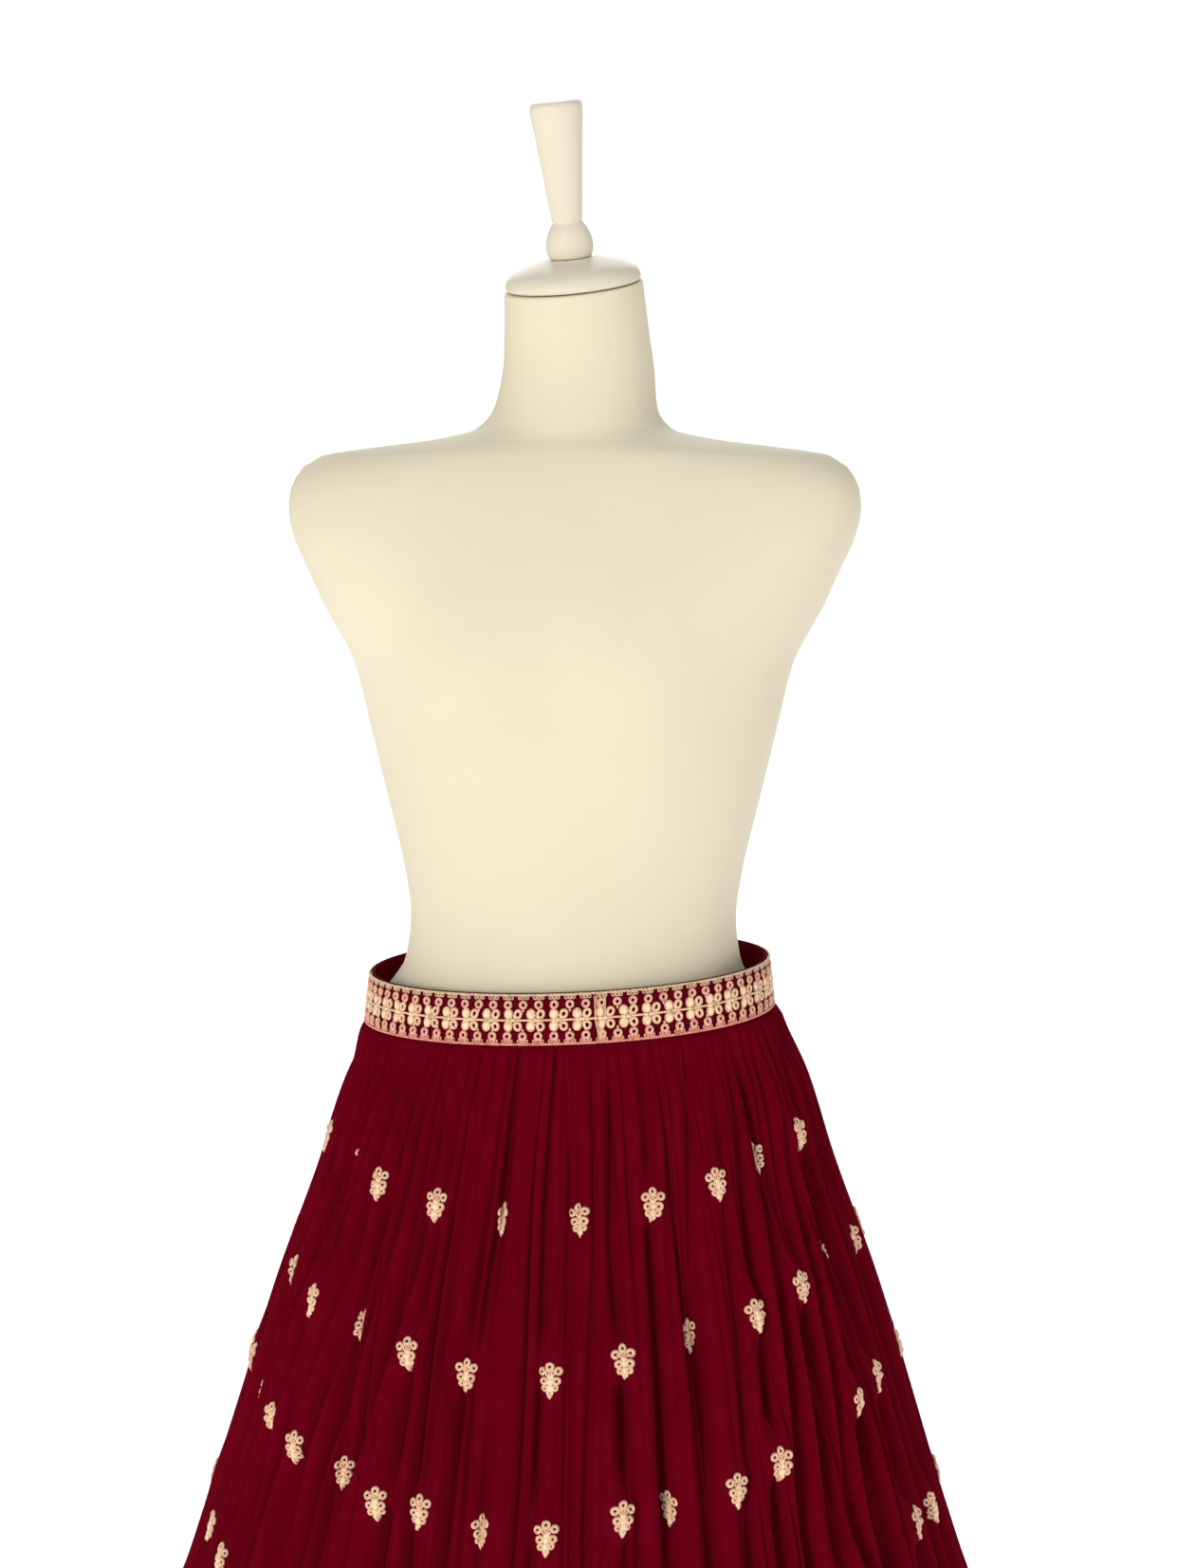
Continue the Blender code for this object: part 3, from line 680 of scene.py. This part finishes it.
trim = {
    "middle": 0.0178, "lift": 0.0008, "sink": 0.0004,
    # Rings under each edge, their necks, and three small loops where each one meets the edge.
    "ringPitch": 0.0112, "ringTop": 0.0107, "ringBottom": 0.0111, "ringSize": 0.0022, "ringThread": 0.00112,
    "neckReach": (0.0026, 0.0040, 0.0052), "neckThread": 0.0010, "neckLift": 0.0006,
    "loopSize": 0.0011, "loopThread": 0.00060, "loopApart": 0.0026, "loopIn": 0.0031,
    # Groups along the middle: a pair of full petals, a pair of open ones, and two small leaves.
    "groupPitch": 0.0165, "petalAt": 0.0042, "petalWide": 0.0028, "petalTall": 0.0030, "petalThread": 0.00115,
    "rimThread": 0.00075, "petalHigh": 0.0018, "openShift": 0.0070, "openLean": 0.35,
    "leafAt": 0.0020, "leafWide": 0.0011, "leafTall": 0.0018, "leafThread": 0.0007, "leafLean": 0.9,
    "bead": (0.0018, 0.0014), "beadHigh": 0.0024,
    # The lace join: its angle, how far apart its stitches stand, and their thread.
    "joinAngle": -76.0, "joinApart": 0.0018, "joinThread": 0.0005, "joinEnd": 0.0022,
}
# Cords round the belt: name, height, thickness, pitch of the twist, look.
cordTable = (
    ("beltCordTop", beltHeight - 0.0012, 0.00090, 0.0031, threadTan),
    ("beltCordBottom", 0.0011, 0.00100, 0.0031, threadRose),
    ("beltStem", trim["middle"], 0.0009, 0.0021, threadPale),
)


def cordRow(t, tube, pitch, steps=5, sides=6):
    # Cord round the belt: a closed tube whose size swells once in each pitch, as twisted cord does.
    rows = int(round(beltGirth / pitch)) * steps
    s = np.linspace(0, beltGirth, rows, endpoint=False)
    size = tube * (0.72 + 0.28 * np.abs(np.sin(math.pi * np.arange(rows) / steps)))
    a = np.arange(sides) / sides * 2 * math.pi
    points = onBelt(np.repeat(s[:, None], sides, 1), t + np.outer(size, np.cos(a)),
                    tube * 0.55 + np.outer(size, np.sin(a)))
    return points.reshape(-1, 3), tubeQuads(rows, sides)[:, ::-1]


def along(s, t):
    # Places at the distances s round the belt, all at one height t.
    return np.stack([s, np.full(len(s), t)], 1)


def buildTrim(v):
    # Along the middle, full petals and open ones in pairs; towards each edge, rings on three small loops.
    middle, lift = v["middle"], v["lift"]
    ringCount = int(round(beltGirth / v["ringPitch"]))
    groupCount = int(round(beltGirth / v["groupPitch"]))
    ringS = (np.arange(ringCount) + 0.5) * beltGirth / ringCount
    groupS = (np.arange(groupCount) + 0.25) * beltGirth / groupCount
    openS, leafS = groupS + v["openShift"], groupS + v["openShift"] * 0.47
    pale, pink, gold, tan, shiny = [], [], [], [], []
    size, wide, tall = v["ringSize"], v["petalWide"], v["petalTall"]
    loop = ring(0, 0, v["loopSize"], v["loopSize"], 0, v["loopThread"], v["loopThread"], 8, 4)
    for sign in (1, -1):
        places = along(ringS, middle + (v["ringTop"] if sign > 0 else -v["ringBottom"]))
        pink.append(repeated(ring(0, 0, size, size, 0, v["ringThread"], lift, 12, 5), places))
        edge = beltHeight - v["loopIn"] if sign > 0 else v["loopIn"]
        for k in (-1, 0, 1):
            (tan if sign > 0 else pink).append(repeated(loop, along(ringS + k * v["loopApart"], edge)))
        neck = [(0, -sign * reach, v["neckLift"]) for reach in v["neckReach"]]
        pale.append(repeated(strand(neck, v["neckThread"]), places))
        full = along(groupS, middle + sign * v["petalAt"])
        pink.append(repeated(ring(0, 0, wide, tall * 1.10, 0, v["rimThread"], 0.0006, 12, 4), full))
        gold.append(repeated(dome(0, 0, wide, tall * 1.10, 0, v["petalHigh"], 12), full))
        opened = along(openS, middle + sign * v["petalAt"])
        pale.append(repeated(ring(0, 0, wide * 0.78, tall * 0.86, -sign * v["openLean"], v["petalThread"],
                                  lift, 12, 5), opened))
        leaf = ring(0, 0, v["leafWide"], v["leafTall"], sign * v["leafLean"], v["leafThread"],
                    v["leafThread"], 8, 4)
        pale.append(repeated(leaf, along(leafS, middle + sign * v["leafAt"])))
    beads = np.concatenate([along(leafS, middle), along(groupS, middle)])
    shiny.append(repeated(dome(0, 0, *v["bead"], 0, v["beadHigh"], 8), beads))
    # A lace join just to the right of the middle: upright stitches that spread towards the top.
    joinS = np.interp(math.radians(v["joinAngle"]), beltAngle, beltRound)
    t = np.linspace(0, 1, 12)
    for k in range(-2, 3):
        across = joinS + k * v["joinApart"] * (0.3 + t) + 0.0006 * np.sin(2.3 * k + 7 * t)
        rise = v["joinEnd"] + (beltHeight - 2 * v["joinEnd"]) * t
        path = np.stack([across, rise, 0.0013 + 0.0005 * np.sin(9 * t + k)], 1)
        (tan if k % 2 else pale).append(strand(path, v["joinThread"]))
    return [join(x) for x in (pale, pink, gold, tan, shiny)]


trimPieces = (("beltThread", threadPale), ("beltRings", threadPink), ("beltPetals", threadGold),
              ("beltLoops", threadTan), ("beltSequins", sequinLook))
for (points, quads), (name, look) in zip(buildTrim(trim), trimPieces):
    points = onBelt(np.mod(points[:, 0], beltGirth), points[:, 1], points[:, 2] - trim["sink"])
    putMesh(name, points, quads, look, slot="belt_embroidered")
for name, height, tube, pitch, look in cordTable:
    putMesh(name, *cordRow(height, tube, pitch), look, slot="belt_embroidered")
print("belt trim made")

# Sprig in millimetres: across, up, half width, half height, turn, thread.
sprigRings = [
    (-0.6, 9.0, 2.10, 2.00, 0.0, 1.20), (-6.0, 5.6, 2.10, 1.95, 0.4, 1.20),
    (5.3, 6.2, 2.10, 1.95, -0.4, 1.20), (-1.8, 4.8, 1.00, 1.80, 0.15, 0.85),
    (1.7, 5.1, 1.00, 1.80, -0.15, 0.85), (-4.1, -0.6, 2.00, 1.90, 0.4, 1.25),
    (4.2, -0.5, 2.00, 2.05, -0.4, 1.25), (-3.3, -5.3, 1.50, 1.55, 0.2, 1.15),
    (3.5, -5.0, 1.50, 1.55, -0.2, 1.15),
]
# Filled centres: across, up, half width, half height, height off the cloth.
sprigDomes = [
    (0.0, -0.8, 2.6, 2.6, 1.9), (0.1, -5.2, 2.8, 2.9, 1.8), (0.0, 1.9, 2.7, 1.8, 1.3),
    (0.1, -8.4, 2.5, 2.3, 1.5),
]
# The pointed tip: up, height off the cloth; and the sizes that all its parts share.
sprigTip = [(-6.0, 0.9), (-8.5, 1.0), (-10.8, 0.8), (-12.4, 0.4)]
sprigValues = {"lift": 0.75, "tipThread": 1.5, "edgeColumns": 12}


def sprigMotif(v):
    # Thread rings and a tip, and filled centres between them, in metres across, up and off the cloth.
    mm = 0.001
    thread = [ring(x * mm, y * mm, w * mm, h * mm, turn, tube * mm, v["lift"] * mm, 10, 4)
              for x, y, w, h, turn, tube in sprigRings]
    thread.append(strand([(0, y * mm, h * mm) for y, h in sprigTip], v["tipThread"] * mm))
    centres = [dome(x * mm, y * mm, w * mm, h * mm, 0, high * mm, 8) for x, y, w, h, high in sprigDomes]
    return join(thread), join(centres)


def clothPoints(points, panel, row, column):
    # Lays (s, t, h) on the cloth: s along the row's own length, t up against the drop, h along the normal.
    grid, normals, across, drops = skirtGrids[panel]
    cols = np.interp(across[row, column] + points[:, 0], across[row], np.arange(grid.shape[1]))
    rise = np.linalg.norm(grid[min(row + 1, len(drops) - 1), column] - grid[row - 1, column]) / 2
    r = np.clip(row - points[:, 1] / rise, 0, len(drops) - 1.001)
    i, j = r.astype(int), np.minimum(cols.astype(int), grid.shape[1] - 2)
    a, b = (r - i)[:, None], (cols - j)[:, None]

    def blend(g):
        # Value between the four corners of the grid's cell.
        return (g[i, j] * (1 - a) * (1 - b) + g[i + 1, j] * a * (1 - b)
                + g[i, j + 1] * (1 - a) * b + g[i + 1, j + 1] * a * b)
    return blend(grid) + blend(normals) * points[:, 2:3]


def placeSprigs(v):
    # The grid's row and column of each sprig, by panel and part; those on a side seam are left out.
    groups = {}
    for panel, low, turned, tilt, part, _ in spots:
        grid, normals, across, drops = skirtGrids[panel]
        row = int(np.clip(np.searchsorted(drops, low), 2, len(drops) - 3))
        column = int(np.argmin(np.abs(np.arctan2(grid[row, :, 1], grid[row, :, 0]) - turned)))
        if v["edgeColumns"] < column < grid.shape[1] - v["edgeColumns"] - 1:
            groups.setdefault((panel, part), []).append((row, column, tilt))
    return groups


thread, centres = sprigMotif(sprigValues)
for (panel, part), group in sorted(placeSprigs(sprigValues).items()):
    for motif, kind, look in ((thread, "Thread", threadPale), (centres, "Centres", threadGold)):
        made = []
        for row, column, tilt in group:
            p, c, s = motif[0].copy(), math.cos(tilt), math.sin(tilt)
            p[:, :2] = p[:, :2] @ np.array([[c, s], [-s, c]])
            made.append((clothPoints(p, panel, row, column), motif[1]))
        points, quads = join(made)
        putMesh(f"sprig{kind}{('Front', 'Back')[panel]}{part + 1}", points, quads, look,
                slot="belt_embroidered")
print("sprigs made")

# Floor, light and camera. Lamps: name, angle from the front towards +X, angle up, strength, spread, colour.
lampTable = (
    ("keyLight", -23, 4, 1.60, 20, (1.0, 0.950, 0.86)), ("topLight", 10, 75, 0.58, 50, (0.86, 0.96, 1.10)),
    ("sideLight", 80, 4, 0.62, 30, (1.0, 0.92, 0.86)), ("backLight", 190, 30, 0.9, 40, (1.0, 0.98, 0.95)),
)
stageValues = {
    "floorHalf": 30, "floorTone": 0.95, "floorGlow": 0.60, "skyStrength": 0.52, "whiteStrength": 1.05,
    # The photo's camera: degrees round and down, metres away and up; the focal length, the photo's height
    # and how far the axis stands left of its middle, in its pixels.
    "azimuth": 9.0, "pitch": 6.0, "distance": 2.05, "height": 1.397,
    "focalPixels": 2971.0, "photoTall": 1653.0, "axisLeft": 16.5, "sensor": 36.0,
}
half, tone = stageValues["floorHalf"], stageValues["floorTone"]
floorMesh = bpy.data.meshes.new("floor")
floorMesh.from_pydata([(-half, -half, 0), (half, -half, 0), (half, half, 0), (-half, half, 0)], [],
                      [(0, 1, 2, 3)])
floor = bpy.data.objects.new("floor", floorMesh)
bpy.context.scene.collection.objects.link(floor)
floorMesh.materials.append(newLook("paleFloor", Base_Color=(tone, tone, tone, 1), Roughness=0.9,
                                   Emission_Color=(1, 1, 1, 1),
                                   Emission_Strength=stageValues["floorGlow"])[0])

# A white surround: what the camera sees behind is white, and the light it gives is softer.
world = bpy.data.worlds.new("studio")
bpy.context.scene.world = world
world.use_nodes = True
tree = world.node_tree
soft = tree.nodes["Background"]
# Its own light is brighter and warmer near the horizon than overhead.
direction = addNode(tree, "ShaderNodeTexCoord").outputs["Generated"]
upward = addNode(tree, "ShaderNodeSeparateXYZ", {"Vector": direction})
sky = colourRamp(tree, upward.outputs["Z"], [(0.0, (0.86, 0.79, 0.77, 1)), (0.25, (0.77, 0.71, 0.69, 1)),
                                             (0.9, (0.46, 0.52, 0.60, 1))])
tree.links.new(sky.outputs[0], soft.inputs["Color"])
soft.inputs["Strength"].default_value = stageValues["skyStrength"]
white = addNode(tree, "ShaderNodeBackground", Color=(1, 1, 1, 1), Strength=stageValues["whiteStrength"])
seen = addNode(tree, "ShaderNodeLightPath")
either = addNode(tree, "ShaderNodeMixShader", {0: seen.outputs["Is Camera Ray"]})
tree.links.new(soft.outputs[0], either.inputs[1])
tree.links.new(white.outputs[0], either.inputs[2])
tree.links.new(either.outputs[0], tree.nodes["World Output"].inputs["Surface"])


def softSun(name, azimuth, elevation, strength, spread, colour):
    # Light from far away, at an angle round from the front towards +X and an angle up.
    light = bpy.data.lights.new(name, "SUN")
    light.energy, light.color, light.angle = strength, colour, math.radians(spread)
    lamp = bpy.data.objects.new(name, light)
    lamp.rotation_euler = (math.radians(90 - elevation), 0, math.radians(azimuth))
    bpy.context.scene.collection.objects.link(lamp)


def placeCamera(v):
    # Eye at (sin az, -cos az) distance, turned to the axis less the photo's small shift, pitched down.
    azimuth, pitch = math.radians(v["azimuth"]), math.radians(v["pitch"])
    camera = bpy.data.cameras.new("camera")
    camera.sensor_width = v["sensor"]
    camera.lens = v["focalPixels"] / v["photoTall"] * v["sensor"]
    eye = bpy.data.objects.new("camera", camera)
    eye.location = (math.sin(azimuth) * v["distance"], -math.cos(azimuth) * v["distance"], v["height"])
    eye.rotation_euler = (math.pi / 2 - pitch, 0, azimuth - v["axisLeft"] / v["focalPixels"])
    bpy.context.scene.collection.objects.link(eye)
    bpy.context.scene.camera = eye


for lamp in lampTable:
    softSun(*lamp)
placeCamera(stageValues)
bpy.context.scene.view_settings.view_transform = "Standard"
print("stage made")
